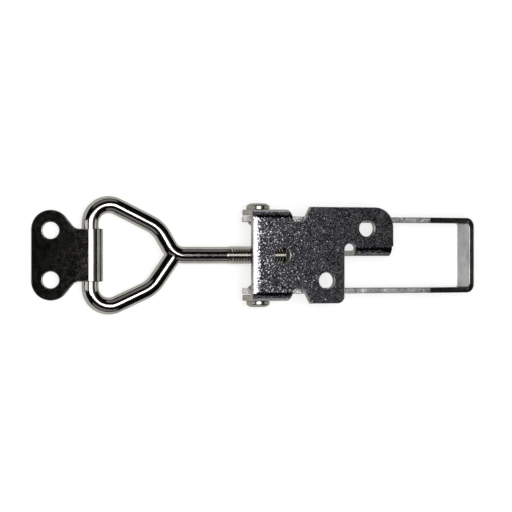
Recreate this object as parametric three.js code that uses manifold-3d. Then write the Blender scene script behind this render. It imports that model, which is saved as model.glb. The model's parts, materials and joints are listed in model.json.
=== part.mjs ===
// Adjustable toggle bolt latch of bent and riveted plated steel: a base plate with two ears, a strap lever
// riveted between them, a trunnion in the lever, a bent loop bolt screwed into the trunnion, and a hooked
// keeper plate. Millimetres, +Z up. X runs along the latch, from the keeper (-X) to the handle (+X). The base
// plate's mounting face is the plane Z = 0 and looks up, so the closed latch lies on its handle, ears, lug
// and keeper.
// The origin is on the mounting face, on the centre line, over the axis of the lever's pivot.
import * as THREE from "three";
import { mergeVertices } from "three/addons/utils/BufferGeometryUtils.js";
import Module from "manifold-3d";

const wasm = await Module();
wasm.setup();

// Driving dimensions: base plate
const PLATE_SHEET = 2.0;
const PLATE_LENGTH = 52.7; // front edge to back edge
const PLATE_WIDTH = 33.7; // behind the ears
const FRONT_REACH = 5.0; // front edge ahead of the pivot axis
const EAR_SPACING = 31.8; // over the ears' outer faces
const EAR_LENGTH = 13.8;
const EAR_BEND = 3.3; // outer radius
const NOTCH_LEAD = 1.3; // ear's back edge to the notch's floor
const NOTCH_LENGTH = 3.4; // floor
const NOTCH_FLARE = 2.8; // floor to the plate's full width
const NOTCH_INSET = 1.05; // floor inside the start of the ear's bend
const NOTCH_ROUND = 1.5; // radius
const BACK_CORNER = 7.0; // radius
const FOOT_CORNER = 2.6; // radius
const LUG_LENGTH = 14.1;
const LUG_BEND = 3.45; // outer radius
const LUG_FACE = -0.35; // Y of the lug's outer face
const LUG_SETBACK = 0.5; // lug's back edge from the plate's
const LUG_HOLE = 5.5;
const RELIEF_WIDTH = 4.0; // slot that frees the lug's bend
const SCREW_HOLE = 5.7;
const LUG_HOLE_WALL = 2.1; // metal between the lug's hole and its end
const FRONT_HOLE_SETBACK = 3.0; // front hole ahead of the ears' back edge
const CORNER_HOLE = { back: 10.2, side: 7.5 }; // from the plate's back and side edges
const FOOT_HOLE = { back: 6.8, side: 8.0 }; // from the foot's back and side edges

// Driving dimensions: lever, rivets, trunnion
const LEVER_SHEET = 2.0;
const LEVER_LENGTH = 82.6; // pivot axis to the handle's outer face
const HANDLE_LENGTH = 19.1; // from the bend in the arms to the handle's outer face
const HANDLE_DROP = 10.5; // degrees
const HANDLE_CORNER = 3.0; // outer radius
const PIVOT_DEPTH = 9.0; // below the mounting face
const RIVET_SHANK = 5.0;
const RIVET_HEAD = 8.1;
const RIVET_HEAD_HEIGHT = 2.2;
const RIVET_TAIL = 6.8; // diameter of the closed end inside the arm
const RIVET_TAIL_HEIGHT = 1.2;
const HEAD_FLAT = 0.82; // share of the head's radius
const HEAD_CHAMFER = 0.35; // share of the head's height
const TAIL_FLAT = 0.6; // shares of the closed end's radius and height
const TAIL_CHAMFER = 0.6;
const TRUNNION_REACH = 13.0; // pivot axis to trunnion axis, along the closed lever
const OVER_CENTRE = 1.0; // trunnion axis nearer to the mounting face than the pivot axis
const TRUNNION_WALL = 2.1; // barrel round the bolt
const TRUNNION_STUB = 5.0;

// Driving dimensions: loop bolt and keeper
const WIRE = 5.8;
const LOOP_REACH = 72.8; // trunnion axis to the axis of the loop's straight side
const LOOP_WIDTH = 40.0; // over the wire
const LOOP_CORNER = 6.5; // centre line radius
const STEM_LENGTH = 43.4; // trunnion axis to the loop's point
const STEM_TAIL = 0.4; // bolt end beyond the trunnion's barrel
const POINT_RADIUS = 6; // centre line radii of the bends
const KNEE_RADIUS = 11;
const UPPER_KNEE = { depth: 0.187, side: 0.553 }; // shares of the loop's depth and half its width
const LOWER_KNEE = { depth: 0.265, side: 0.65 };
const LEG_SPREAD = 4.6; // sideways allowance that the round corners take up
const WELD_GAP = 2.03; // bolt's butted end to the loop's point
const KEEPER_SHEET = 1.2;
const KEEPER_LENGTH = 19.6; // hook axis to the far edge
const KEEPER_LOBE = 6.7; // radius round each screw hole
const KEEPER_HOLE_SPACING = 17.4;
const HOOK_TIP = 2.0; // straight end of the hook
const NECK_INSET = 8.1; // neck's edge inside the loop's legs
const NECK_LENGTH = 4.6;
const NECK_FILLET = 3.0;
const LOBE_ROUND = 0.98; // share of the lobe's radius where it runs into its flank
const KEEPER_HOLE_INSET = 0.3; // hole inside the lobe's centre

// Clearances
const SLIDE_GAP = 0.4; // lever beside the ears
const RUN_GAP = 0.1; // radial, round every pin and thread
const SEAT_GAP = 0.05; // rivets and trunnion shoulders against what they seat on
const UNDER_PLATE = 1.4; // lever below the plate
const REST_MARGIN = 2.4; // ears, lug and handle beyond the arms' round ends
const HOOK_GAP = 0.25; // hook round the wire

// Worked-out places
const plateBack = PLATE_LENGTH - FRONT_REACH;
const halfPlate = PLATE_WIDTH / 2;
const halfEars = EAR_SPACING / 2;
const armOuter = halfEars - PLATE_SHEET - SLIDE_GAP;
const armInner = armOuter - LEVER_SHEET;
const armRadius = PIVOT_DEPTH - PLATE_SHEET - UNDER_PLATE;
const restDepth = PIVOT_DEPTH + armRadius + REST_MARGIN;
const pivot = new THREE.Vector3(0, 0, -PIVOT_DEPTH);
const trunnionAxis = new THREE.Vector3(TRUNNION_REACH, 0, OVER_CENTRE - PIVOT_DEPTH);
const barrelRadius = WIRE / 2 + TRUNNION_WALL;
const hookInner = WIRE / 2 + HOOK_GAP;
const hookOuter = hookInner + KEEPER_SHEET;
const keeperUnderside = hookOuter - KEEPER_SHEET;
// The keeper lies on its far edge and its hook's tip, and the loop slopes from the trunnion down to it.
const keeperSlope = Math.atan2(hookOuter + keeperUnderside, KEEPER_LENGTH - HOOK_TIP);
const hookHeight = HOOK_TIP * Math.sin(keeperSlope) + hookOuter * Math.cos(keeperSlope);
const loopSlope = Math.asin((trunnionAxis.z + restDepth - hookHeight) / LOOP_REACH);

const HOLE_SIDES = 40;
const ARC_STEPS = 5; // each rounded corner has twice as many edges
const WIRE_SIDES = 14;
const WIRE_STEP = 1.6;
const THROUGH = 60; // longer than any cut
const PAST = 1; // how far a cut or a joined piece runs past a face
const ROUND_SLACK = 0.01; // keeps two corners of a full round end apart
const ARM_ROUND = 0.975; // the arm's lower corner is just under a right angle

// Draws a polyline whose points are [x, y] or, for a rounded corner, [x, y, radius].
function draw(path, points, closed) {
  const count = points.length;
  points.forEach((point, i) => {
    const corner = new THREE.Vector2(point[0], point[1]);
    const isEnd = !closed && (i === 0 || i === count - 1);
    if (isEnd || !point[2]) {
      if (i === 0) path.moveTo(corner.x, corner.y);
      else path.lineTo(corner.x, corner.y);
      return;
    }
    const before = points[(i + count - 1) % count];
    const after = points[(i + 1) % count];
    const inward = new THREE.Vector2(before[0], before[1]).sub(corner).normalize();
    const outward = new THREE.Vector2(after[0], after[1]).sub(corner).normalize();
    const half = Math.acos(inward.dot(outward)) / 2;
    const tangent = point[2] / Math.tan(half);
    const start = corner.clone().addScaledVector(inward, tangent);
    const end = corner.clone().addScaledVector(outward, tangent);
    const bisector = inward.clone().add(outward).normalize();
    const centre = corner.clone().addScaledVector(bisector, point[2] / Math.sin(half));
    const clockwise = inward.cross(outward) > 0;
    if (i === 0) path.moveTo(start.x, start.y);
    else path.lineTo(start.x, start.y);
    const from = Math.atan2(start.y - centre.y, start.x - centre.x);
    const to = Math.atan2(end.y - centre.y, end.x - centre.x);
    path.absarc(centre.x, centre.y, point[2], from, to, clockwise);
  });
  if (closed) path.closePath();
  return path;
}

const outline = (points) => draw(new THREE.Shape(), points, true);

function toSolid(geometry) {
  const bare = new THREE.BufferGeometry().setAttribute("position", geometry.getAttribute("position"));
  bare.setIndex(geometry.index);
  const merged = mergeVertices(bare, 1e-4);
  const mesh = new wasm.Mesh({
    numProp: 3,
    vertProperties: new Float32Array(merged.attributes.position.array),
    triVerts: new Uint32Array(merged.index.array),
  });
  return new wasm.Manifold(mesh);
}

function toGeometry(solid) {
  const mesh = solid.getMesh();
  const geometry = new THREE.BufferGeometry();
  geometry.setAttribute("position", new THREE.BufferAttribute(new Float32Array(mesh.vertProperties), 3));
  geometry.setIndex(new THREE.BufferAttribute(new Uint32Array(mesh.triVerts), 1));
  geometry.computeVertexNormals();
  return geometry;
}

const AXES = {
  x: [new THREE.Vector3(0, 1, 0), new THREE.Vector3(0, 0, 1), new THREE.Vector3(1, 0, 0)],
  y: [new THREE.Vector3(1, 0, 0), new THREE.Vector3(0, 0, 1), new THREE.Vector3(0, -1, 0)],
  z: [new THREE.Vector3(1, 0, 0), new THREE.Vector3(0, 1, 0), new THREE.Vector3(0, 0, 1)],
};

// A closed shape carried along an axis from low to high. Its points are (y, z) for x, (x, z) for y and
// (x, y) for z.
function prism(shape, axis, low, high) {
  // Where a line runs into an arc the two ends can differ by rounding, so near repeats are dropped.
  const points = shape.getPoints(ARC_STEPS).filter((point, i, all) => {
    return point.distanceTo(all[(i + all.length - 1) % all.length]) > 1e-3;
  });
  const geometry = new THREE.ExtrudeGeometry(new THREE.Shape(points), {
    depth: high - low,
    bevelEnabled: false,
    steps: 1,
  });
  const turn = new THREE.Matrix4().makeBasis(...AXES[axis]);
  geometry.translate(0, 0, axis === "y" ? -high : low).applyMatrix4(turn);
  return toSolid(geometry);
}

// A round bar along an axis, centred on a point.
function bar(diameter, axis, length, centre = new THREE.Vector3()) {
  const geometry = new THREE.CylinderGeometry(diameter / 2, diameter / 2, length, HOLE_SIDES);
  if (axis === "x") geometry.rotateZ(Math.PI / 2);
  if (axis === "z") geometry.rotateX(Math.PI / 2);
  geometry.translate(centre.x, centre.y, centre.z);
  return toSolid(geometry);
}

// Sheet bent from flat (top at Z = 0) to straight down, as a (y, z) section: the flat starts at flatEnd and
// the outer face of the flange is at face. side is +1 where the flange is on the +Y side, else -1.
function bentSection(flatEnd, face, side, bend, sheet, depth) {
  const inner = face - side * sheet;
  return outline([
    [flatEnd, 0],
    [face, 0, bend],
    [face, -depth],
    [inner, -depth],
    [inner, -sheet, bend - sheet],
    [flatEnd, -sheet],
  ]);
}

function basePlate() {
  const footBack = plateBack - LUG_SETBACK - LUG_LENGTH - RELIEF_WIDTH;
  const lugFront = footBack + RELIEF_WIDTH;
  const lugBack = plateBack - LUG_SETBACK;
  const flatEdge = LUG_FACE + LUG_BEND;
  const earBack = EAR_LENGTH - FRONT_REACH;
  const notchFront = earBack + NOTCH_LEAD;
  const notchBack = notchFront + NOTCH_LENGTH;
  const notchMiddle = (notchFront + notchBack) / 2;
  const notchMouth = notchBack + NOTCH_FLARE;
  const notchFloor = halfEars - EAR_BEND - NOTCH_INSET;
  const notchOuter = Math.max(halfEars, halfPlate) + PAST;

  const flat = outline([
    [0, -notchFloor],
    [notchMiddle, -notchFloor],
    [notchMiddle, -halfPlate],
    [footBack, -halfPlate, FOOT_CORNER],
    [footBack, flatEdge],
    [plateBack, flatEdge],
    [plateBack, halfPlate, BACK_CORNER],
    [notchMiddle, halfPlate],
    [notchMiddle, notchFloor],
    [0, notchFloor],
  ]);
  let plate = prism(flat, "z", -PLATE_SHEET, 0);

  const earRound = EAR_LENGTH / 2 - ROUND_SLACK;
  const earShape = outline([
    [-FRONT_REACH, PAST],
    [-FRONT_REACH, -restDepth, earRound],
    [earBack, -restDepth, earRound],
    [earBack, -EAR_BEND - PLATE_SHEET],
    [notchMiddle, -PLATE_SHEET],
    [notchMiddle, PAST],
  ]);
  const channel = [-1, 1].map((side) => {
    const section = bentSection(0, side * halfEars, side, EAR_BEND, PLATE_SHEET, restDepth);
    return prism(section, "x", -FRONT_REACH, notchMiddle);
  });
  const ears = channel[0].add(channel[1]).intersect(prism(earShape, "y", -THROUGH, THROUGH));

  const lugShape = outline([
    [lugFront, PAST],
    [lugFront, -restDepth, LUG_LENGTH / 3],
    [lugBack, -restDepth, LUG_LENGTH / 3],
    [lugBack, PAST],
  ]);
  const lugSection = bentSection(flatEdge + PLATE_SHEET, LUG_FACE, -1, LUG_BEND, PLATE_SHEET, restDepth);
  const lug = prism(lugSection, "x", lugFront, lugBack).intersect(prism(lugShape, "y", -THROUGH, THROUGH));
  plate = plate.add(ears).add(lug);

  for (const side of [-1, 1]) {
    const notch = outline([
      [earBack, side * notchOuter],
      [earBack, side * halfEars],
      [notchFront, side * notchFloor, NOTCH_ROUND],
      [notchBack, side * notchFloor, NOTCH_ROUND],
      [notchMouth, side * halfPlate],
      [notchMouth, side * notchOuter],
    ]);
    plate = plate.subtract(prism(notch, "z", -THROUGH, THROUGH));
  }

  const reliefTop = flatEdge + RELIEF_WIDTH / 4;
  const reliefEnd = new THREE.Vector3(footBack + RELIEF_WIDTH / 2, reliefTop - RELIEF_WIDTH / 2, 0);
  const reliefSlot = outline([
    [footBack, LUG_FACE - PAST],
    [lugFront, LUG_FACE - PAST],
    [lugFront, reliefEnd.y],
    [footBack, reliefEnd.y],
  ]);
  plate = plate.subtract(bar(RELIEF_WIDTH, "z", 2 * THROUGH, reliefEnd));
  plate = plate.subtract(prism(reliefSlot, "z", -PLATE_SHEET - PAST, PAST));

  const screwHoles = [
    new THREE.Vector3(earBack - FRONT_HOLE_SETBACK, 0, 0),
    new THREE.Vector3(plateBack - CORNER_HOLE.back, halfPlate - CORNER_HOLE.side, 0),
    new THREE.Vector3(footBack - FOOT_HOLE.back, FOOT_HOLE.side - halfPlate, 0),
  ];
  for (const centre of screwHoles) plate = plate.subtract(bar(SCREW_HOLE, "z", 3 * PLATE_SHEET, centre));
  plate = plate.subtract(bar(RIVET_SHANK + 2 * SEAT_GAP, "y", THROUGH, pivot));
  const lugHole = new THREE.Vector3((lugFront + lugBack) / 2, 0, LUG_HOLE / 2 + LUG_HOLE_WALL - restDepth);
  return plate.subtract(bar(LUG_HOLE, "y", THROUGH / 2, lugHole));
}

function lever() {
  const bendX = LEVER_LENGTH - HANDLE_LENGTH;
  const top = pivot.z + armRadius;
  const drop = HANDLE_LENGTH * Math.tan(THREE.MathUtils.degToRad(HANDLE_DROP));
  const end = LEVER_LENGTH + PAST;
  const handleBottom = -restDepth;
  const strap = outline([
    [-THROUGH / 2, armOuter],
    [-THROUGH / 2, armInner],
    [LEVER_LENGTH - LEVER_SHEET, armInner, HANDLE_CORNER - LEVER_SHEET],
    [LEVER_LENGTH - LEVER_SHEET, -armInner, HANDLE_CORNER - LEVER_SHEET],
    [-THROUGH / 2, -armInner],
    [-THROUGH / 2, -armOuter],
    [LEVER_LENGTH, -armOuter, HANDLE_CORNER],
    [LEVER_LENGTH, armOuter, HANDLE_CORNER],
  ]);
  const side = outline([
    [-armRadius, top, armRadius],
    [bendX, top],
    [end, top - drop],
    [end, handleBottom],
    [LEVER_LENGTH, handleBottom],
    [bendX, handleBottom + drop],
    [-armRadius, pivot.z - armRadius, ARM_ROUND * armRadius],
  ]);
  return prism(strap, "z", -THROUGH, THROUGH)
    .intersect(prism(side, "y", -THROUGH, THROUGH))
    .subtract(bar(RIVET_SHANK + 2 * RUN_GAP, "y", THROUGH, pivot))
    .subtract(bar(TRUNNION_STUB + 2 * RUN_GAP, "y", THROUGH, trunnionAxis));
}

// Head outside the ear, shank through ear and arm, closed end inside the arm.
function rivet(side) {
  const shank = RIVET_SHANK / 2;
  const head = RIVET_HEAD / 2;
  const tail = RIVET_TAIL / 2;
  const seat = halfEars + SEAT_GAP;
  const headTop = seat + RIVET_HEAD_HEIGHT;
  const tailSeat = armInner - SEAT_GAP;
  const tailEnd = tailSeat - RIVET_TAIL_HEIGHT;
  const profile = [
    [0, tailEnd],
    [tail * TAIL_FLAT, tailEnd],
    [tail, tailEnd + RIVET_TAIL_HEIGHT * TAIL_CHAMFER],
    [tail, tailSeat],
    [shank, tailSeat],
    [shank, seat],
    [head, seat],
    [head, headTop - RIVET_HEAD_HEIGHT * HEAD_CHAMFER],
    [head * HEAD_FLAT, headTop],
    [0, headTop],
  ].map(([radius, along]) => new THREE.Vector2(radius, along));
  const geometry = new THREE.LatheGeometry(profile, HOLE_SIDES);
  if (side < 0) geometry.rotateX(Math.PI);
  return toSolid(geometry.translate(pivot.x, pivot.y, pivot.z));
}

// Barrel between the arms with a stub in each. It lies in the loop's sloping frame, whose X is the
// bolt's axis.
function trunnion() {
  const barrel = bar(2 * barrelRadius, "y", 2 * (armInner - SEAT_GAP));
  const stubs = bar(TRUNNION_STUB, "y", 2 * (armOuter - SEAT_GAP));
  return barrel.add(stubs).subtract(bar(WIRE + 2 * RUN_GAP, "x", THROUGH));
}

// A flat path as a curve in space, for sweeping.
class FlatCurve extends THREE.Curve {
  constructor(path) {
    super();
    this.path = path;
  }
  getPoint(t, target = new THREE.Vector3()) {
    const point = this.path.getPoint(t);
    return target.set(point.x, point.y, 0);
  }
}

function wireAlong(points) {
  const curve = new FlatCurve(draw(new THREE.Path(), points, false));
  const section = new THREE.Shape().absarc(0, 0, WIRE / 2, 0, 2 * Math.PI);
  const geometry = new THREE.ExtrudeGeometry(section, {
    steps: Math.ceil(curve.getLength() / WIRE_STEP),
    curveSegments: WIRE_SIDES / 2,
    extrudePath: curve,
  });
  return toSolid(geometry);
}

// One bent rod: threaded stem, then round the loop, and back to a butt weld under the first bend.
function loopBolt() {
  const halfLoop = (LOOP_WIDTH - WIRE) / 2;
  const loopDepth = LOOP_REACH - STEM_LENGTH;
  const point = [-STEM_LENGTH, 0];
  const upperKnee = [-STEM_LENGTH - UPPER_KNEE.depth * loopDepth, UPPER_KNEE.side * halfLoop];
  const lowerKnee = [-STEM_LENGTH - LOWER_KNEE.depth * loopDepth, -LOWER_KNEE.side * halfLoop];
  const cornerRise = (knee, side) => {
    // the corner's sharp point, for a rounded wire that reaches just out to halfLoop
    const slope = Math.atan2(halfLoop + LEG_SPREAD - side * knee[1], LOOP_REACH + knee[0]);
    return halfLoop - LOOP_CORNER + LOOP_CORNER * Math.tan(Math.PI / 4 + slope / 2);
  };
  const span = Math.hypot(point[0] - lowerKnee[0], lowerKnee[1]);
  const freeEnd = [0, 1].map((i) => point[i] + ((lowerKnee[i] - point[i]) * WELD_GAP) / span);
  return wireAlong([
    [barrelRadius + STEM_TAIL, 0],
    [...point, POINT_RADIUS],
    [...upperKnee, KNEE_RADIUS],
    [-LOOP_REACH, cornerRise(upperKnee, 1), LOOP_CORNER],
    [-LOOP_REACH, -cornerRise(lowerKnee, -1), LOOP_CORNER],
    [...lowerKnee, KNEE_RADIUS],
    freeEnd,
  ]);
}

// Two-lobed plate with a neck that curls round the loop's straight side, which is the local Y axis.
function keeperPlate() {
  const halfNeck = LOOP_WIDTH / 2 - WIRE / 2 - NECK_INSET;
  const lobeX = KEEPER_LOBE - KEEPER_LENGTH;
  const lobeY = KEEPER_HOLE_SPACING / 2;
  const top = lobeY + KEEPER_LOBE;
  const shoulder = [-NECK_LENGTH, halfNeck];
  // the flank touches the lobe's circle and runs to the shoulder; flankTurn is its angle to the lobe's top
  const toShoulder = new THREE.Vector2(shoulder[0] - lobeX, shoulder[1] - lobeY);
  const bearing = Math.atan2(toShoulder.y, toShoulder.x);
  const flankTurn = Math.PI / 2 - bearing - Math.acos(KEEPER_LOBE / toShoulder.length());
  const lobeCorner = lobeX + KEEPER_LOBE * Math.tan(flankTurn / 2);
  const half = [
    [-KEEPER_LENGTH, top, KEEPER_LOBE],
    [lobeCorner, top, KEEPER_LOBE * LOBE_ROUND],
    [...shoulder, NECK_FILLET],
    [0, halfNeck],
  ];
  const mirrored = half.map(([x, y, radius]) => [x, -y, radius]).reverse();
  const flat = prism(outline([...half, ...mirrored]), "z", keeperUnderside, hookOuter);
  const hook = new THREE.Shape();
  hook.moveTo(-PAST, hookOuter);
  hook.lineTo(0, hookOuter);
  hook.absarc(0, 0, hookOuter, Math.PI / 2, -Math.PI / 2, true);
  hook.lineTo(-HOOK_TIP, -hookOuter);
  hook.lineTo(-HOOK_TIP, -hookInner);
  hook.lineTo(0, -hookInner);
  hook.absarc(0, 0, hookInner, -Math.PI / 2, Math.PI / 2, false);
  hook.lineTo(-PAST, hookInner);
  let keeper = flat.add(prism(hook, "y", -halfNeck, halfNeck));
  for (const side of [-1, 1]) {
    const centre = new THREE.Vector3(lobeX, side * (lobeY - KEEPER_HOLE_INSET), hookOuter);
    keeper = keeper.subtract(bar(SCREW_HOLE, "z", 3 * KEEPER_SHEET, centre));
  }
  return keeper;
}

function part(name, solid, color, roughness) {
  const material = new THREE.MeshStandardMaterial({ color, roughness, metalness: 1 });
  const mesh = new THREE.Mesh(toGeometry(solid), material);
  mesh.name = name;
  return mesh;
}

const latch = new THREE.Group();
latch.add(part("base_plate", basePlate(), 0x8f8e90, 0.22));
latch.add(part("lever", lever(), 0xb4b4b6, 0.2));
latch.add(part("pivot_rivet_left", rivet(1), 0xb9b9b4, 0.25));
latch.add(part("pivot_rivet_right", rivet(-1), 0xb9b9b4, 0.25));

const loop = new THREE.Group();
loop.position.copy(trunnionAxis);
loop.rotation.y = -loopSlope;
loop.add(part("trunnion", trunnion(), 0x9a9a98, 0.3));
loop.add(part("loop_bolt", loopBolt(), 0xc6c4c0, 0.15));
latch.add(loop);

const keeper = new THREE.Group();
keeper.position.x = -LOOP_REACH;
keeper.rotation.y = loopSlope - keeperSlope;
keeper.add(part("keeper_plate", keeperPlate(), 0x5c5a58, 0.15));
loop.add(keeper);

export default latch;
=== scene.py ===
"""Toggle bolt latch: finely made plated-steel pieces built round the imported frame, on a pale studio floor.

Lengths here are in millimetres, and become metres where a mesh, light or camera is made.
"""

import json
import math

import bmesh
import bpy
from mathutils import Matrix, Vector
from mathutils.geometry import tessellate_polygon


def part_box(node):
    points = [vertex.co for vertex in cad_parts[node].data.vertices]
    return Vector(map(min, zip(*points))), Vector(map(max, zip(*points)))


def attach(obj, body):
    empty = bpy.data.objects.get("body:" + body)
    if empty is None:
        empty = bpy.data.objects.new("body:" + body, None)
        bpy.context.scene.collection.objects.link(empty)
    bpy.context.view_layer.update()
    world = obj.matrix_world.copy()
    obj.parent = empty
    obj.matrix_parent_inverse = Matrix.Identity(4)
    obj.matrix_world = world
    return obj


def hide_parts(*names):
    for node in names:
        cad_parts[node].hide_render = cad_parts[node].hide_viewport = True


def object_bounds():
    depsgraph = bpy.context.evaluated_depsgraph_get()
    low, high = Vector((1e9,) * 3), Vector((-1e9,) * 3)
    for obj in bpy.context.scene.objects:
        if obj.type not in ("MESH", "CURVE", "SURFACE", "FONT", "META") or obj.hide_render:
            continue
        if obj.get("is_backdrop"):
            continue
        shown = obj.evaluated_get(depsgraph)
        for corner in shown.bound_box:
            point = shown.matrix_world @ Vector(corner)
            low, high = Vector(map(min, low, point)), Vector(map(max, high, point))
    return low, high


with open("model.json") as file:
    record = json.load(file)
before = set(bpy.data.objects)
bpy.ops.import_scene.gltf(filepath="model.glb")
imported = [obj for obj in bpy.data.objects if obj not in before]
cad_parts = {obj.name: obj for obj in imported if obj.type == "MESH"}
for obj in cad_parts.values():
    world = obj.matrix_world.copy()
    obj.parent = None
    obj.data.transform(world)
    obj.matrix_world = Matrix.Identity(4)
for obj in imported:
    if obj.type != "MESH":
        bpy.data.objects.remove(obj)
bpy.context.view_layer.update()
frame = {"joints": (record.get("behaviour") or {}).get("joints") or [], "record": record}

MM = 0.001

# What the frame gives, in millimetres
JOINTS = {joint["name"]: joint for joint in frame["joints"]}
MOUNTS = {mount["name"]: mount for mount in frame["record"]["mounts"]}


def place_of(joint):
    return Vector(JOINTS[joint]["pos_m"]) / MM


def box_of(node):
    low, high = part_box(node)
    return low / MM, high / MM


PIVOT = place_of("lever_pivot")
TRUNNION = place_of("trunnion_pivot")
WIRE_AXIS = place_of("keeper_swing")
BOLT_AXIS = Vector(JOINTS["bolt_adjust"]["axis"]).normalized()
KEEPER_NORMAL = Vector(MOUNTS["keeper_face"]["axis"]).normalized()
PLATE_LOW, PLATE_HIGH = box_of("base_plate")
LEVER_LOW, LEVER_HIGH = box_of("lever")
RIVET_LOW, RIVET_HIGH = box_of("pivot_rivet_left")
REST_DEPTH = -PLATE_LOW.z

# Sheet metal
SHEET = 2.0
KEEPER_SHEET = 1.2
EDGE = 0.28  # rounding of a sheared edge
EDGE_STEPS = 3
CORNER_STEP = math.radians(5)
BEND_STEP = math.radians(5)

# Base plate
EAR_OUTER = 15.9  # Y of the ears' outer faces
EAR_LENGTH = 13.8
EAR_BEND = 3.3
FRONT_ROLL_SLOPE = 0.5  # at the very edge
FRONT_ROLL_LENGTH = 3.4
FRONT_ROLL_STEPS = 12
NOTCH_LEAD = 1.3
NOTCH_LENGTH = 3.4
NOTCH_FLARE = 2.8
NOTCH_INSET = 1.05
NOTCH_ROUND = 1.5
BACK_CORNER = 7.0
FOOT_CORNER = 2.6
LUG_LENGTH = 14.1
LUG_BEND = 3.45
LUG_FACE = -0.35
LUG_SETBACK = 0.5
LUG_HOLE = 5.5
LUG_HOLE_WALL = 2.1
RELIEF_WIDTH = 4.0
SCREW_HOLE = 5.7
FRONT_HOLE_SETBACK = 3.0
CORNER_HOLE = (10.2, 7.5)
FOOT_HOLE = (6.8, 8.0)

# Lever and rivets
HANDLE_LENGTH = 19.1
HANDLE_DROP = math.radians(10.5)
HANDLE_CORNER = 3.0
ARM_ROUND = 0.99  # share of the arm's half width
HEEL_ROUND = 0.97
RIVET_SHANK = 5.0
RIVET_TAIL = 6.8
RIVET_TAIL_HEIGHT = 1.2
RIVET_HEAD_HEIGHT = 2.2
PIN_GAP = 0.1
SEAT_GAP = 0.05

# Trunnion and bolt
BARREL = 10.0
STUB = 5.0
WIRE = 5.8
STEM_LENGTH = 43.4
STEM_TAIL = 0.4
LOOP_CORNER = 6.5
POINT_RADIUS = 6.0
KNEE_RADIUS = 11.0
UPPER_KNEE = (0.187, 0.553)
LOWER_KNEE = (0.265, 0.65)
LEG_SPREAD = 4.6
JOINT_GAP = 0.5  # the leg's end sits in the stem
LOOP_WIDTH = 40.0
THREAD_START = -24.8  # along the stem, from the trunnion's axis
THREAD_PITCH = 1.0
THREAD_MAJOR = 3.2
THREAD_MINOR = 2.68
THREAD_CLEARANCE = 0.03
THREAD_RUN_IN = 1.6  # over which it rises from the rod
THREAD_STEP = 0.09
ROD_STEP = 0.45
ROD_SIDES = 56
CREST_SHARPNESS = 1.1
ROOT_WIDTH = 0.02
BOLT_CHAMFER = 0.55

# Keeper
KEEPER_LENGTH = 19.6
KEEPER_LOBE = 6.7
KEEPER_HOLE_SPACING = 17.4
KEEPER_HOLE_INSET = 0.3
HOOK_GAP = 0.25
HOOK_TIP = 2.0
HOOK_TIP_ROUND = 0.8
NECK_INSET = 8.1
NECK_LENGTH = 4.6
NECK_FILLET = 3.0
LOBE_ROUND = 0.98  # share of the lobe's radius where it runs into its flank

# Camera and light
VIEW_TURN = math.radians(20)
VIEW_DISTANCE = 700.0
VIEW_WIDTH = 178.4  # of the frame, at the target
VIEW_TARGET = Vector((-1.1, -0.28, -8.0))
SENSOR = 36.0
FLOOR_SIZE = 6.0  # metres


# ---------------------------------------------------------------- outlines


def rounded(points, closed=True):
    """A polyline through (x, y) or (x, y, radius) corners, with each radius as a fine arc."""
    made = []
    count = len(points)
    for i, point in enumerate(points):
        corner = Vector(point[:2])
        ends_here = not closed and i in (0, count - 1)
        if ends_here or len(point) < 3:
            made.append(corner)
            continue
        back = (Vector(points[i - 1][:2]) - corner).normalized()
        ahead = (Vector(points[(i + 1) % count][:2]) - corner).normalized()
        half = math.acos(max(-1.0, min(1.0, back.dot(ahead)))) / 2
        radius = point[2]
        start = corner + back * (radius / math.tan(half))
        centre = corner + (back + ahead).normalized() * (radius / math.sin(half))
        spoke = start - centre
        turn = math.pi - 2 * half
        sign = 1 if back.x * ahead.y - back.y * ahead.x < 0 else -1
        steps = max(2, math.ceil(turn / CORNER_STEP))
        for k in range(steps + 1):
            made.append(centre + spoke.copy() @ Matrix.Rotation(-sign * turn * k / steps, 2))
    kept = [p for i, p in enumerate(made) if (p - made[i - 1]).length > 1e-4 or (not closed and i == 0)]
    return kept


def ring(centre, diameter):
    """A hole, drawn the other way round from an outline."""
    steps = math.ceil(2 * math.pi / CORNER_STEP)
    radius = diameter / 2
    angles = [-2 * math.pi * k / steps for k in range(steps)]
    return [Vector((centre[0] + radius * math.cos(a), centre[1] + radius * math.sin(a))) for a in angles]


def is_anticlockwise(points):
    return sum(points[i - 1].x * p.y - p.x * points[i - 1].y for i, p in enumerate(points)) > 0


def inward_of(points):
    """At each corner, the step that moves both neighbouring edges one unit to their left."""
    steps = []
    count = len(points)
    for i, point in enumerate(points):
        before = (point - points[i - 1]).normalized()
        after = (points[(i + 1) % count] - point).normalized()
        left = Vector((-before.y, before.x)) + Vector((-after.y, after.x))
        steps.append(left / max(0.3, 1 + before.dot(after)))
    return steps


# ---------------------------------------------------------------- meshes


def finish_piece(name, mesh, body, slot, replaced, *materials):
    piece = bpy.data.objects.new(name, mesh)
    bpy.context.scene.collection.objects.link(piece)
    for material in materials:
        mesh.materials.append(material)
    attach(piece, body)
    for node in replaced:
        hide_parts(node)
    return piece


def to_mesh(name, bm, normals=None):
    for vert in bm.verts:
        vert.co *= MM
    mesh = bpy.data.meshes.new(name)
    for face in bm.faces:
        face.smooth = True
    bm.to_mesh(mesh)
    bm.free()
    if normals:
        mesh.normals_split_custom_set_from_vertices(normals)
    return mesh


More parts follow.
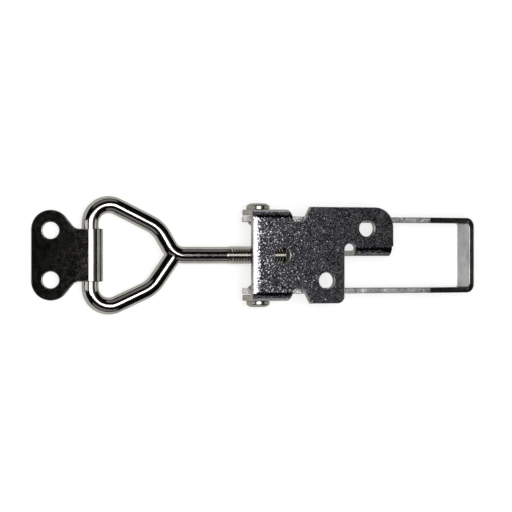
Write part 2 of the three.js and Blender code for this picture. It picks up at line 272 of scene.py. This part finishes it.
def sheet_mesh(name, outline, holes, cuts, bend, thickness=SHEET, rough_painted_highlight_wall=None):
    """A flat blank with rounded edges, cut across its bends and carried through bend(u, v, w).

    The blank's face is w = 0 and its thickness goes to w = -thickness. cuts holds (axis, value) lines.
    Its sheared edges take the piece's second material, and the third one, a much lighter copy that paints a
    highlight on those edges, where the given test of u says so.
    """
    if not is_anticlockwise(outline):
        outline = outline[::-1]
    loops = [outline, *holes]
    levels = []
    for k in range(EDGE_STEPS + 1):
        angle = math.pi / 2 * k / EDGE_STEPS
        out, up = math.sin(angle), math.cos(angle)
        levels.append((EDGE * (1 - out), -EDGE * (1 - up), out, up))
    levels += [(inset, -thickness - w, out, -up) for inset, w, out, up in reversed(levels)]

    bm = bmesh.new()
    layer = bm.verts.layers.float_vector.new("blank_normal")
    top, bottom = [], []
    for points in loops:
        inward = inward_of(points)
        rows = []
        for inset, w, out, up in levels:
            row = []
            for point, step in zip(points, inward):
                vert = bm.verts.new((*(point + step * inset), w))
                vert[layer] = Vector((*(-step.normalized() * out), up))
                row.append(vert)
            rows.append(row)
        count = len(points)
        for upper, lower in zip(rows, rows[1:]):
            for i in range(count):
                j = (i + 1) % count
                wall = bm.faces.new((upper[i], lower[i], lower[j], upper[j]))
                wall.material_index = 1
        top.append(rows[0])
        bottom.append(rows[-1])
    for rows, flip in ((top, False), (bottom, True)):
        flat = [vert for row in rows for vert in row]
        for triangle in tessellate_polygon([[vert.co.to_2d().to_3d() for vert in row] for row in rows]):
            corners = [flat[i] for i in triangle]
            area = (corners[1].co - corners[0].co).cross(corners[2].co - corners[0].co).z
            if abs(area) < 1e-9:
                continue
            if (area > 0) == flip:
                corners.reverse()
            bm.faces.new(corners)

    for axis, value in cuts:
        place = Vector((0, 0, 0))
        place[axis] = value
        normal = Vector((0, 0, 0))
        normal[axis] = 1
        everything = bm.verts[:] + bm.edges[:] + bm.faces[:]
        bmesh.ops.bisect_plane(bm, geom=everything, dist=1e-5, plane_co=place, plane_no=normal)

    # the walls picked here take the third material, which paints a highlight on them
    if rough_painted_highlight_wall:
        for wall in bm.faces:
            if wall.material_index == 1 and rough_painted_highlight_wall(wall.calc_center_median().x):
                wall.material_index = 2

    normals = []
    step = 1e-3
    for vert in bm.verts:
        u, v, w = vert.co
        columns = []
        for axis in range(3):
            ahead, behind = [u, v, w], [u, v, w]
            ahead[axis] += step
            behind[axis] -= step
            columns.append((bend(*ahead) - bend(*behind)) / (2 * step))
        stretch = Matrix(columns)  # its rows are the columns of the map's derivative
        normals.append((stretch.inverted() @ vert[layer].normalized()).normalized())
        vert[layer] = normals[-1]
    places = [bend(*vert.co) for vert in bm.verts]
    for vert, place in zip(bm.verts, places):
        vert.co = place
    return to_mesh(name, bm, normals)


def lathe_mesh(name, profile, centre, side=1, segments=96):
    """(radius, along) points turned about the Y axis through centre."""
    bm = bmesh.new()
    rows = []
    for point in profile:
        if point[0] < 1e-6:
            rows.append([bm.verts.new((0, point[1], 0))])
            continue
        row = []
        for k in range(segments):
            angle = 2 * math.pi * k / segments
            row.append(bm.verts.new((point[0] * math.cos(angle), point[1], point[0] * math.sin(angle))))
        rows.append(row)
    for low, high in zip(rows, rows[1:]):
        for k in range(segments):
            j = (k + 1) % segments
            corners = [low[k % len(low)], low[j % len(low)], high[j % len(high)], high[k % len(high)]]
            unique = list(dict.fromkeys(corners))
            bm.faces.new(unique)
    for vert in bm.verts:
        vert.co = Vector((vert.co.x, side * vert.co.y, vert.co.z)) + centre
    bmesh.ops.recalc_face_normals(bm, faces=bm.faces)
    return to_mesh(name, bm)


def weighted(piece):
    """Keeps flats flat beside their small rounded edges."""
    shading = piece.modifiers.new("shading", "WEIGHTED_NORMAL")
    shading.mode = "FACE_AREA"
    shading.weight = 80
    return piece


# ---------------------------------------------------------------- materials


def plating(name, colour, dull, grain, depth, rough, patch=5.0, facets=None):
    """Plated steel: grain is the size of its fine pits and depth their height; dull darkens in patches.

    facets holds the size of its crystals and how far their faces tilt. Every plating here is a little
    darker and warmer where it is seen edge on.
    """
    material = bpy.data.materials.new(name)
    material.use_nodes = True
    nodes, links = material.node_tree.nodes, material.node_tree.links
    shader = nodes["Principled BSDF"]
    shader.inputs["Metallic"].default_value = 1.0
    shader.inputs["Specular Tint"].default_value = (0.62, 0.61, 0.55, 1)
    where = nodes.new("ShaderNodeTexCoord").outputs["Object"]

    def noise_of(size, detail, roughness=0.55):
        node = nodes.new("ShaderNodeTexNoise")
        node.inputs["Scale"].default_value = 1 / (size * MM)
        node.inputs["Detail"].default_value = detail
        node.inputs["Roughness"].default_value = roughness
        links.new(where, node.inputs["Vector"])
        return node.outputs["Fac"]

    def mapped(value, ends, results=(0.0, 1.0)):
        node = nodes.new("ShaderNodeMapRange")
        node.inputs["From Min"].default_value, node.inputs["From Max"].default_value = ends
        node.inputs["To Min"].default_value, node.inputs["To Max"].default_value = results
        links.new(value, node.inputs["Value"])
        return node.outputs["Result"]

    def bumped(height, distance, normal=None):
        node = nodes.new("ShaderNodeBump")
        node.inputs["Strength"].default_value = 1.0
        node.inputs["Distance"].default_value = distance * MM
        links.new(height, node.inputs["Height"])
        if normal:
            links.new(normal, node.inputs["Normal"])
        return node.outputs["Normal"]

    def vector_of(operation, first, *others):
        node = nodes.new("ShaderNodeVectorMath")
        node.operation = operation
        links.new(first, node.inputs[0])
        for socket, other in zip(node.inputs[1:], others):
            if isinstance(other, float):
                socket.default_value = (other, other, other)
            else:
                links.new(other, socket)
        return node.outputs["Vector"]

    pits = noise_of(grain, 3, 0.65)
    specks = noise_of(grain * 2.7, 5, 0.7)
    tint = nodes.new("ShaderNodeMix")
    tint.data_type = "RGBA"
    tint.inputs["A"].default_value = (*(c * dull for c in colour), 1)
    tint.inputs["B"].default_value = (*colour, 1)
    links.new(mapped(noise_of(patch, 4), (0.35, 0.62)), tint.inputs["Factor"])
    links.new(tint.outputs["Result"], shader.inputs["Base Color"])
    links.new(mapped(specks, (0.3, 0.7), rough), shader.inputs["Roughness"])

    normal = bumped(pits, depth * 0.35, bumped(specks, depth))
    if facets:
        size, tilt = facets
        crystals = nodes.new("ShaderNodeTexVoronoi")
        crystals.inputs["Scale"].default_value = 1 / (size * MM)
        links.new(where, crystals.inputs["Vector"])
        centred = vector_of("SUBTRACT", crystals.outputs["Color"], 0.5)
        normal = vector_of("NORMALIZE", vector_of("MULTIPLY_ADD", centred, tilt, normal))
    links.new(normal, shader.inputs["Normal"])
    return material


# ---------------------------------------------------------------- pieces


def bend_angles(radius, total):
    """Distances along a neutral line of that radius at which a bend is cut."""
    steps = math.ceil(total / BEND_STEP)
    return [radius * total * k / steps for k in range(steps + 1)]


def base_plate(face, edge):
    front, back = PLATE_LOW.x, PLATE_HIGH.x
    side = PLATE_HIGH.y
    ear_back = front + EAR_LENGTH
    ear_start = EAR_OUTER - EAR_BEND
    ear_neutral = EAR_BEND - SHEET / 2
    ear_arc = ear_neutral * math.pi / 2
    ear_end = ear_start + ear_arc + REST_DEPTH - EAR_BEND
    notch_floor = ear_start - NOTCH_INSET
    notch_front = ear_back + NOTCH_LEAD
    notch_back = notch_front + NOTCH_LENGTH
    notch_mouth = notch_back + NOTCH_FLARE
    lug_back = back - LUG_SETBACK
    lug_front = lug_back - LUG_LENGTH
    foot_back = lug_front - RELIEF_WIDTH
    lug_start = LUG_FACE + LUG_BEND
    lug_neutral = LUG_BEND - SHEET / 2
    lug_arc = lug_neutral * math.pi / 2
    lug_end = lug_start - lug_arc - (REST_DEPTH - LUG_BEND)
    relief_middle = foot_back + RELIEF_WIDTH / 2
    relief_round = RELIEF_WIDTH / 2 - 0.01
    relief_top = lug_start + RELIEF_WIDTH / 4
    ear_round = EAR_LENGTH / 2 - 0.01
    ear_bottom = ear_start + ear_arc

    def ear(sign):
        corners = [
            (notch_mouth, sign * side),
            (notch_back, sign * notch_floor, NOTCH_ROUND),
            (notch_front, sign * notch_floor, NOTCH_ROUND),
            (ear_back, sign * ear_bottom),
            (ear_back, sign * ear_end, ear_round),
            (front, sign * ear_end, ear_round),
        ]
        return corners if sign > 0 else corners[::-1]

    outline = rounded([
        *ear(1),
        *ear(-1),
        (foot_back, -side, FOOT_CORNER),
        (foot_back, relief_top, relief_round),
        (lug_front, relief_top, relief_round),
        (lug_front, lug_end, LUG_LENGTH / 3),
        (lug_back, lug_end, LUG_LENGTH / 3),
        (lug_back, lug_start),
        (back, lug_start),
        (back, side, BACK_CORNER),
    ])
    pin_row = ear_bottom - PIVOT.z - EAR_BEND
    lug_hole_drop = REST_DEPTH - LUG_HOLE / 2 - LUG_HOLE_WALL - LUG_BEND
    holes = [
        ring((ear_back - FRONT_HOLE_SETBACK, 0), SCREW_HOLE),
        ring((back - CORNER_HOLE[0], side - CORNER_HOLE[1]), SCREW_HOLE),
        ring((foot_back - FOOT_HOLE[0], FOOT_HOLE[1] - side), SCREW_HOLE),
        ring(((lug_front + lug_back) / 2, lug_start - lug_arc - lug_hole_drop), LUG_HOLE),
        ring((0, pin_row), RIVET_SHANK + 2 * SEAT_GAP),
        ring((0, -pin_row), RIVET_SHANK + 2 * SEAT_GAP),
    ]

    roll_start = front + FRONT_ROLL_LENGTH

    def roll(u):
        """How far the rolled front edge has dropped at u."""
        share = max(0.0, roll_start - u) / FRONT_ROLL_LENGTH
        return FRONT_ROLL_SLOPE * FRONT_ROLL_LENGTH * share**3 / 3

    def turned(distance, w, radius, neutral):
        """Sideways and downward places of a point that far along a right-angled bend."""
        arc = neutral * math.pi / 2
        angle = min(distance, arc) / neutral
        reach = radius + w
        beyond = max(0.0, distance - arc)
        return reach * math.sin(angle), reach * math.cos(angle) - radius - beyond

    def bend(u, v, w):
        if abs(v) > ear_start and u < notch_back:
            out, z = turned(abs(v) - ear_start, w, EAR_BEND, ear_neutral)
            level = max(0.0, 1 - (abs(v) - ear_start) / ear_arc)
            return Vector((u, math.copysign(ear_start + out, v), z - roll(u) * level))
        if v < lug_start and u > relief_middle:
            out, z = turned(lug_start - v, w, LUG_BEND, lug_neutral)
            return Vector((u, lug_start - out, z))
        return Vector((u, v, w - roll(u)))

    cuts = [(1, sign * (ear_start + d)) for sign in (-1, 1) for d in bend_angles(ear_neutral, math.pi / 2)]
    cuts += [(1, lug_start - d) for d in bend_angles(lug_neutral, math.pi / 2)]
    cuts += [(0, front + FRONT_ROLL_LENGTH * k / FRONT_ROLL_STEPS) for k in range(1, FRONT_ROLL_STEPS + 1)]
    mesh = sheet_mesh("plate", outline, holes, cuts, bend)
    return finish_piece("plate", mesh, "base", "plate_zinc", ["base_plate"], face, edge)


def lever(face, edge, painted_highlight_edge):
    outer = LEVER_HIGH.y
    length = LEVER_HIGH.x
    arm_end = -LEVER_LOW.x
    bend_x = length - HANDLE_LENGTH
    drop = HANDLE_LENGTH * math.tan(HANDLE_DROP)
    top = PIVOT.z + arm_end
    neutral = HANDLE_CORNER - SHEET / 2
    arc = neutral * math.pi / 2
    corner_x = length - HANDLE_CORNER
    corner_y = outer - HANDLE_CORNER
    handle_start = corner_x + arc
    handle_end = handle_start + 2 * corner_y
    whole = 2 * (corner_x + arc + corner_y)
    shoulder = corner_x + arc / 2
    bottom = PIVOT.z - arm_end
    heel = arm_end * HEEL_ROUND

    outline = rounded([
        (-arm_end, bottom, heel),
        (bend_x, -REST_DEPTH + drop),
        (shoulder, -REST_DEPTH),
        (whole - shoulder, -REST_DEPTH),
        (whole - bend_x, -REST_DEPTH + drop),
        (whole + arm_end, bottom, heel),
        (whole + arm_end, top, arm_end * ARM_ROUND),
        (whole - bend_x, top),
        (whole - shoulder, top - drop),
        (shoulder, top - drop),
        (bend_x, top),
        (-arm_end, top, arm_end * ARM_ROUND),
    ])
    holes = []
    for along in (0, whole):
        sign = 1 if along == 0 else -1
        holes.append(ring((along, PIVOT.z), RIVET_SHANK + 2 * PIN_GAP))
        holes.append(ring((along + sign * TRUNNION.x, TRUNNION.z), STUB + 2 * PIN_GAP))

    def bend(u, v, w):
        if u > whole / 2:
            x, y = strap(whole - u, w)
            return Vector((x, -y, v))
        x, y = strap(u, w)
        return Vector((x, y, v))

    def strap(s, w):
        if s <= corner_x:
            return s, -(outer + w)
        if s <= handle_start:
            angle = (s - corner_x) / neutral
            reach = HANDLE_CORNER + w
            return corner_x + reach * math.sin(angle), -corner_y - reach * math.cos(angle)
        return length + w, -corner_y + (s - handle_start)

    turns = bend_angles(neutral, math.pi / 2)
    cuts = [(0, corner_x + d) for d in turns] + [(0, handle_end + d) for d in turns]
    cuts += [(0, bend_x), (0, whole - bend_x)]
    # painted highlight: the arms' sheared edges ahead of the handle's bend take a much lighter plating,
    # standing in for the light they catch
    mesh = sheet_mesh(
        "strap_lever", outline, holes, cuts, bend, rough_painted_highlight_wall=lambda u: u < bend_x or u > whole - bend_x
    )
    return finish_piece("strap_lever", mesh, "lever", "lever_zinc", ["lever"], face, edge, painted_highlight_edge)


def keeper(face, edge):
    hook_inner = WIRE / 2 + HOOK_GAP
    hook_outer = hook_inner + KEEPER_SHEET
    neutral = hook_outer - KEEPER_SHEET / 2
    arc = neutral * math.pi
    neck = LOOP_WIDTH / 2 - WIRE / 2 - NECK_INSET
    lobe_x = KEEPER_LOBE - KEEPER_LENGTH
    lobe_y = KEEPER_HOLE_SPACING / 2
    top = lobe_y + KEEPER_LOBE
    # the flank touches the lobe's circle and runs to the shoulder
    shoulder_x, shoulder_y = -NECK_LENGTH - lobe_x, neck - lobe_y
    to_shoulder = math.hypot(shoulder_x, shoulder_y)
    flank_turn = math.pi / 2 - math.atan2(shoulder_y, shoulder_x) - math.acos(KEEPER_LOBE / to_shoulder)
    lobe_corner = lobe_x + KEEPER_LOBE * math.tan(flank_turn / 2)
    half = [
        (arc + HOOK_TIP, neck, HOOK_TIP_ROUND),
        (-NECK_LENGTH, neck, NECK_FILLET),
        (lobe_corner, top, KEEPER_LOBE * LOBE_ROUND),
        (-KEEPER_LENGTH, top, KEEPER_LOBE),
    ]
    outline = rounded(half + [(x, -y, radius) for x, y, radius in reversed(half)])
    hole_y = lobe_y - KEEPER_HOLE_INSET
    holes = [ring((lobe_x, sign * hole_y), SCREW_HOLE) for sign in (-1, 1)]
    across = Vector((0, 1, 0))
    along = across.cross(KEEPER_NORMAL)

    def bend(u, v, w):
        reach = hook_outer + w
        if u <= 0:
            x, z = u, reach
        elif u <= arc:
            x, z = reach * math.sin(u / neutral), reach * math.cos(u / neutral)
        else:
            x, z = arc - u, -reach
        return WIRE_AXIS + along * x + across * v + KEEPER_NORMAL * z

    cuts = [(0, d) for d in bend_angles(neutral, math.pi)]
    mesh = sheet_mesh("keeper", outline, holes, cuts, bend, KEEPER_SHEET)
    return finish_piece("keeper", mesh, "keeper", "keeper_steel", ["keeper_plate"], face, edge)


def rivet(side, material):
    name = "left" if side > 0 else "right"
    head = (RIVET_HIGH.x - RIVET_LOW.x) / 2
    seat = EAR_OUTER + SEAT_GAP
    crown = seat + RIVET_HEAD_HEIGHT
    tail_seat = LEVER_HIGH.y - SHEET - SEAT_GAP
    tail_end = tail_seat - RIVET_TAIL_HEIGHT
    tail = RIVET_TAIL / 2
    shank = RIVET_SHANK / 2
    profile = rounded([
        (0, tail_end),
        (tail * 0.7, tail_end, 0.5),
        (tail, tail_end + 0.7, 0.35),
        (tail, tail_seat),
        (shank, tail_seat),
        (shank, seat),
        (head, seat, 0.15),
        (head, crown - 0.9, 0.5),
        (head * 0.7, crown - 0.12, 1.2),
        (0, crown),
    ], closed=False)
    mesh = lathe_mesh("rivet_" + name, profile, PIVOT, side)
    piece = finish_piece("rivet_" + name, mesh, "base", "rivet_steel", ["pivot_rivet_" + name], material)
    return weighted(piece)


def trunnion(material):
    inner = LEVER_HIGH.y - SHEET - SEAT_GAP
    outer = LEVER_HIGH.y - SEAT_GAP
    barrel, stub = BARREL / 2, STUB / 2
    half = [(0, outer), (stub, outer, 0.35), (stub, inner), (barrel, inner, 0.4)]
    mirrored = [(p[0], -p[1], *p[2:]) for p in reversed(half)]
    mesh = lathe_mesh("trunnion_pin", rounded(half + mirrored, closed=False), TRUNNION)
    piece = finish_piece("trunnion_pin", mesh, "trunnion", "trunnion_steel", ["trunnion"], material)
    bore = bpy.data.meshes.new("bore")
    tool = bmesh.new()
    radius = (THREAD_MAJOR + THREAD_CLEARANCE) * MM
    turn = BOLT_AXIS.to_track_quat("Z", "Y").to_matrix().to_4x4()
    place = Matrix.Translation(TRUNNION * MM) @ turn
    bmesh.ops.create_cone(
        tool, cap_ends=True, segments=96, radius1=radius, radius2=radius, depth=3 * BARREL * MM, matrix=place
    )
    tool.to_mesh(bore)
    tool.free()
    cutter = bpy.data.objects.new("bore", bore)
    bpy.context.scene.collection.objects.link(cutter)
    cut = piece.modifiers.new("bore", "BOOLEAN")
    cut.object = cutter
    cut.solver = "EXACT"
    bpy.context.view_layer.update()
    drilled = bpy.data.meshes.new_from_object(piece.evaluated_get(bpy.context.evaluated_depsgraph_get()))
    piece.modifiers.clear()
    piece.data = drilled
    bpy.data.objects.remove(cutter)
    sharp = bmesh.new()
    sharp.from_mesh(drilled)
    for edge in sharp.edges:
        edge.smooth = len(edge.link_faces) == 2 and edge.calc_face_angle() < math.radians(35)
    sharp.to_mesh(drilled)
    sharp.free()
    return weighted(piece)


def resampled(path, step_at):
    """Points along a polyline, with step_at(distance) between them."""
    lengths = [0.0]
    for before, after in zip(path, path[1:]):
        lengths.append(lengths[-1] + (after - before).length)
    made, distance, k = [], 0.0, 0
    while distance < lengths[-1]:
        while lengths[k + 1] < distance:
            k += 1
        share = (distance - lengths[k]) / (lengths[k + 1] - lengths[k])
        made.append(path[k].lerp(path[k + 1], share))
        distance += step_at(distance)
    made.append(path[-1])
    return made


def loop_bolt(material):
    half_loop = (LOOP_WIDTH - WIRE) / 2
    reach = (WIRE_AXIS - TRUNNION).length
    depth = reach - STEM_LENGTH
    point = (-STEM_LENGTH, 0)
    upper = (-STEM_LENGTH - UPPER_KNEE[0] * depth, UPPER_KNEE[1] * half_loop)
    lower = (-STEM_LENGTH - LOWER_KNEE[0] * depth, -LOWER_KNEE[1] * half_loop)

    def corner_rise(knee_x, knee_y):
        slope = math.atan2(half_loop + LEG_SPREAD - knee_y, reach + knee_x)
        return half_loop - LOOP_CORNER + LOOP_CORNER * math.tan(math.pi / 4 + slope / 2)

    span = math.hypot(point[0] - lower[0], lower[1])
    free_end = tuple(p + (q - p) * JOINT_GAP / span for p, q in zip(point, lower))
    tail = BARREL / 2 + STEM_TAIL
    path = rounded([
        (tail, 0),
        (*point, POINT_RADIUS),
        (*upper, KNEE_RADIUS),
        (-reach, corner_rise(*upper), LOOP_CORNER),
        (-reach, -corner_rise(lower[0], -lower[1]), LOOP_CORNER),
        (*lower, KNEE_RADIUS),
        free_end,
    ], closed=False)
    threaded = tail - THREAD_START + 1.0
    points = resampled(path, lambda distance: THREAD_STEP if distance < threaded else ROD_STEP)

    across = Vector((0, 1, 0))
    rise = BOLT_AXIS.cross(across)
    travelled = 0.0
    bm = bmesh.new()
    rows = []
    for i, here in enumerate(points):
        ahead = points[min(i + 1, len(points) - 1)]
        behind = points[max(i - 1, 0)]
        direction = (ahead - behind).normalized()
        if i:
            travelled += (here - behind).length
        # the threaded end is chamfered
        ease = min(1.0, travelled / BOLT_CHAMFER)
        row = []
        for k in range(ROD_SIDES):
            turn = 2 * math.pi * k / ROD_SIDES
            sideways, upward = math.cos(turn), math.sin(turn)
            radius = WIRE / 2
            if here.x > THREAD_START:
                angle = math.atan2(upward, -sideways)
                phase = (here.x / THREAD_PITCH - angle / (2 * math.pi)) % 1.0
                ridge = min(1.0, max(0.0, CREST_SHARPNESS * abs(2 * phase - 1) - ROOT_WIDTH))
                cut = THREAD_MINOR + (THREAD_MAJOR - THREAD_MINOR) * ridge
                start = min(1.0, (here.x - THREAD_START) / THREAD_RUN_IN)
                radius += (cut - radius) * start
            radius -= (1 - ease) * BOLT_CHAMFER
            flat = Vector((-direction.y, direction.x)) * (radius * sideways) + here
            place = TRUNNION + BOLT_AXIS * flat.x + across * flat.y + rise * (radius * upward)
            row.append(bm.verts.new(place))
        rows.append(row)
    for before, after in zip(rows, rows[1:]):
        for k in range(ROD_SIDES):
            j = (k + 1) % ROD_SIDES
            bm.faces.new((before[k], before[j], after[j], after[k]))
    bm.faces.new(rows[0])
    bm.faces.new(rows[-1])
    bmesh.ops.recalc_face_normals(bm, faces=bm.faces)
    mesh = to_mesh("bolt", bm)
    return finish_piece("bolt", mesh, "loop", "bolt_steel", ["loop_bolt"], material)


# ---------------------------------------------------------------- stage


def floor():
    low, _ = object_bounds()
    mesh = bpy.data.meshes.new("floor")
    bm = bmesh.new()
    bmesh.ops.create_grid(bm, x_segments=4, y_segments=4, size=FLOOR_SIZE)
    for vert in bm.verts:
        vert.co.z = low.z
    bm.to_mesh(mesh)
    bm.free()
    ground = bpy.data.objects.new("floor", mesh)
    bpy.context.scene.collection.objects.link(ground)
    paint = bpy.data.materials.new("floor_paint")
    paint.use_nodes = True
    shader = paint.node_tree.nodes["Principled BSDF"]
    shader.inputs["Base Color"].default_value = (0.5, 0.5, 0.5, 1)
    shader.inputs["Roughness"].default_value = 0.9
    shader.inputs["Specular IOR Level"].default_value = 0.1
    shader.inputs["Emission Color"].default_value = (1.0, 1.0, 0.995, 1)
    shader.inputs["Emission Strength"].default_value = 0.72
    mesh.materials.append(paint)
    ground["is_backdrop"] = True


def area_light(name, bearing, tilt, distance, size, power):
    """A rectangle facing the latch. bearing turns from +Z to +X and tilt from there to +Y, in degrees."""
    turn, lift = math.radians(bearing), math.radians(tilt)
    towards = Vector((math.sin(turn) * math.cos(lift), math.sin(lift), math.cos(turn) * math.cos(lift)))
    light = bpy.data.lights.new(name, "AREA")
    light.shape = "RECTANGLE"
    light.size, light.size_y = size[0] * MM, size[1] * MM
    light.energy = power
    lamp = bpy.data.objects.new(name, light)
    bpy.context.scene.collection.objects.link(lamp)
    lamp.location = (VIEW_TARGET + towards * distance) * MM
    lamp.rotation_mode = "QUATERNION"
    lamp.rotation_quaternion = towards.to_track_quat("Z", "Y")


def lights():
    area_light("key", -12, 0, 650, (300, 470), 2.6)
    area_light("upper_fill", -16, 62, 620, (700, 320), 0.25)
    area_light("lower_fill", -16, -62, 620, (700, 320), 0.25)
    area_light("left_fill", -74, 0, 700, (240, 600), 0.6)
    area_light("right_fill", 72, 0, 700, (240, 600), 0.5)
    area_light("plate_fill", 13, 0, 700, (210, 420), 0.07)
    world = bpy.data.worlds.new("studio")
    world.use_nodes = True
    world.node_tree.nodes["Background"].inputs["Color"].default_value = (0.006, 0.006, 0.0055, 1)
    bpy.context.scene.world = world


def camera():
    back = Vector((-math.sin(VIEW_TURN), 0, math.cos(VIEW_TURN)))
    right = Vector((math.cos(VIEW_TURN), 0, math.sin(VIEW_TURN)))
    up = Vector((0, 1, 0))
    lens = bpy.data.cameras.new("camera")
    lens.sensor_width = SENSOR
    lens.lens = SENSOR * VIEW_DISTANCE / VIEW_WIDTH
    lens.clip_start, lens.clip_end = 0.05, 20
    eye = bpy.data.objects.new("camera", lens)
    bpy.context.scene.collection.objects.link(eye)
    facing = Matrix((right, up, back)).transposed().to_4x4()
    eye.matrix_world = Matrix.Translation((VIEW_TARGET + back * VIEW_DISTANCE) * MM) @ facing
    bpy.context.scene.camera = eye


camera()
base_plate(
    plating("plate_plating", (0.30, 0.29, 0.32), 0.7, 0.3, 0.02, (0.08, 0.13), 5.0, (0.32, 0.22)),
    plating("plate_edge", (0.38, 0.37, 0.35), 0.6, 0.30, 0.03, (0.20, 0.38), 3.0),
)
lever(
    plating("lever_plating", (0.42, 0.41, 0.42), 0.75, 0.4, 0.015, (0.12, 0.24), 6.0),
    plating("lever_edge", (0.36, 0.35, 0.34), 0.7, 0.4, 0.015, (0.12, 0.22), 6.0),
    # painted highlight: a far lighter copy of the lever's edge plating, for the arms' edges ahead of the
    # bend; its coarser bumps are real
    plating("lever_painted_highlight_edge", (0.70, 0.68, 0.69), 0.5, 0.24, 0.17, (0.14, 0.26), 2.0),
)
RIVET_PLATING = plating("rivet_plating", (0.26, 0.26, 0.23), 0.8, 0.5, 0.010, (0.14, 0.26), 3.0)
for turned_to in (1, -1):
    rivet(turned_to, RIVET_PLATING)
# painted shade: the trunnion's plating is much darker than the other steel parts, standing in for the shade
# it sits in under the plate
trunnion(plating("trunnion_plating", (0.17, 0.165, 0.16), 0.8, 0.5, 0.010, (0.16, 0.30), 4.0))
loop_bolt(plating("bolt_plating", (0.40, 0.39, 0.36), 0.84, 0.6, 0.006, (0.07, 0.15), 6.0))
keeper(
    plating("keeper_plating", (0.27, 0.26, 0.24), 0.8, 0.6, 0.005, (0.05, 0.12), 8.0),
    plating("keeper_edge", (0.30, 0.29, 0.26), 0.7, 0.5, 0.02, (0.18, 0.32), 4.0),
)
lights()
bpy.context.scene.view_settings.view_transform = "Standard"
bpy.context.view_layer.update()
floor()
